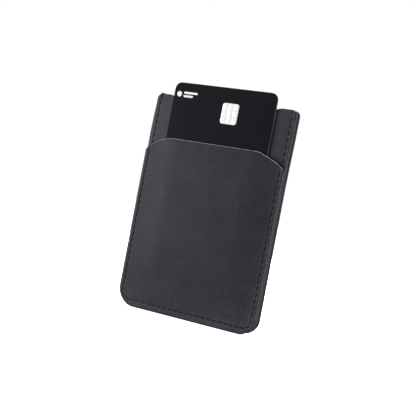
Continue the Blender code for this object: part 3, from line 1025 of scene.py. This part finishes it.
def build_mark(ink):
    """A plain printed ornament near the card's top left corner: a disc and two bars, with no lettering."""
    face = CARD_LOW[1]
    left, bottom = CARD_LOW[0] + 1.6, CARD_HIGH[2] - 6.8
    shapes = [
        rounded_rectangle((left, bottom), (left + 2.6, bottom + 2.6), 1.29),
        rounded_rectangle((left + 3.6, bottom + 1.6), (left + 11.2, bottom + 2.6), 0.49),
        rounded_rectangle((left + 3.6, bottom), (left + 8.8, bottom + 1.0), 0.49),
    ]
    printed = joined([pad(shape, face - 0.015, face + 0.05) for shape in shapes])
    stands_for(mesh_object("card_ornament", *printed, [ink]), "card", "signature")


def repaint(node, surface):
    """A CAD node that is drawn as it is, in its own material."""
    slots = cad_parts[node].data.materials
    if slots:
        slots[0] = surface
    else:
        slots.append(surface)


# ---------------------------------------------------------------- studio


def build_camera():
    """A long lens at the height of the holder's middle, to its right, with the camera rolled."""
    yaw, pitch, roll = math.radians(30.0), math.radians(0.17), math.radians(10.88)
    forward = Vector((-math.sin(yaw) * math.cos(pitch), math.cos(yaw) * math.cos(pitch), math.sin(pitch)))
    level = forward.cross(Vector((0, 0, 1))).normalized()
    upright = level.cross(forward)
    right = level * math.cos(roll) + upright * math.sin(roll)
    up = upright * math.cos(roll) - level * math.sin(roll)
    data = bpy.data.cameras.new("camera")
    data.lens = 86.0
    data.clip_start = 0.01
    camera = bpy.data.objects.new("camera", data)
    turn = Matrix((right, up, -forward)).transposed()
    camera.matrix_world = Matrix.Translation(Vector((227.4, -391.0, 50.6)) * MM) @ turn.to_4x4()
    bpy.context.scene.collection.objects.link(camera)
    bpy.context.scene.camera = camera


def soft_box(name, place, width, height, power, aim=(0, 0, 50)):
    """A rectangular lamp, in millimetres and watts, turned towards the aim."""
    data = bpy.data.lights.new(name, "AREA")
    data.shape = "RECTANGLE"
    data.size, data.size_y = width * MM, height * MM
    data.energy = power
    light = bpy.data.objects.new(name, data)
    light.location = Vector(place) * MM
    light.rotation_euler = (Vector(aim) * MM - light.location).to_track_quat("-Z", "Y").to_euler()
    bpy.context.scene.collection.objects.link(light)


def build_world(ambient, reflected):
    """White where the camera looks past the object, with dimmer even light and dimmer reflections on it."""
    world = bpy.data.worlds.new("studio")
    world.use_nodes = True
    tree = world.node_tree
    background = tree.nodes["Background"]
    background.inputs["Color"].default_value = (1, 1, 1, 1)
    paths = tree.nodes.new("ShaderNodeLightPath")
    on_object = tree.nodes.new("ShaderNodeMapRange")
    on_object.inputs["To Min"].default_value = ambient
    on_object.inputs["To Max"].default_value = reflected
    tree.links.new(paths.outputs["Is Glossy Ray"], on_object.inputs["Value"])
    strength = tree.nodes.new("ShaderNodeMapRange")
    strength.inputs["To Max"].default_value = 1.0
    tree.links.new(paths.outputs["Is Camera Ray"], strength.inputs["Value"])
    tree.links.new(on_object.outputs["Result"], strength.inputs["To Min"])
    tree.links.new(strength.outputs["Result"], background.inputs["Strength"])
    bpy.context.scene.world = world


def build_floor():
    """A plain white sweep, bright enough that it shows no shadow."""
    nodes = Nodes("white_floor")
    nodes.finish(Base_Color=(0.9, 0.9, 0.9, 1), Roughness=1.0, Specular_IOR_Level=0.0,
                 Emission_Color=(1, 1, 1, 1), Emission_Strength=1.0)
    reach, drop = 20000.0, -0.05
    corners = ((-1, -1), (1, -1), (1, 1), (-1, 1))
    points = np.array([(reach * x, reach * y, drop) for x, y in corners])
    floor = mesh_object("floor", points, [[0, 1, 2, 3]], [nodes.material])
    floor.visible_diffuse = False
    floor.visible_glossy = False


def build_studio():
    """The camera, an even white surround and four soft boxes."""
    build_camera()
    build_world(ambient=0.5, reflected=0.27)
    build_floor()
    soft_box("key", (-520, -300, 30), width=340, height=340, power=6.0)
    soft_box("right_fill", (900, 60, 60), width=500, height=500, power=5.0)
    soft_box("top", (0, 60, 1000), width=600, height=300, power=9.0)
    soft_box("rear_fill", (-400, 850, 150), width=500, height=500, power=9.0)
    bpy.context.scene.view_settings.view_transform = "Standard"


def main():
    build_studio()
    leather = leather_material()
    paint = edge_material("edge_paint", (0.029, 0.0275, 0.038), (0.038, 0.036, 0.0485), 0.45)
    bright = edge_material("mouth_paint", (0.30, 0.30, 0.325), (0.38, 0.38, 0.405), 0.45)
    build_front(leather, paint, bright)
    build_lining(lining_material(), paint)
    build_back(leather, paint)
    build_core(paint)
    build_rear(leather, paint)
    build_stitches(thread_material())
    build_card(card_material(), card_edge_material())
    build_chip(metal_material("chip_plate", (0.62, 0.62, 0.64), (0.72, 0.72, 0.73), 0.2, 0.4),
               metal_material("chip_contacts", (0.94, 0.94, 0.95), (0.98, 0.98, 0.98), 0.1, 0.35))
    build_mark(film_material("white_ink", (0.86, 0.86, 0.86), (0.92, 0.92, 0.92), 0.5, 4.0))
    magnetic = film_material("magnetic_film", (0.006, 0.006, 0.006), (0.009, 0.009, 0.009), 0.3, 6.0)
    repaint("magnetic_stripe", magnetic)
    signature = film_material("signature_film", (0.66, 0.66, 0.63), (0.74, 0.74, 0.71), 0.7, 3.0)
    repaint("signature_strip", signature)


main()
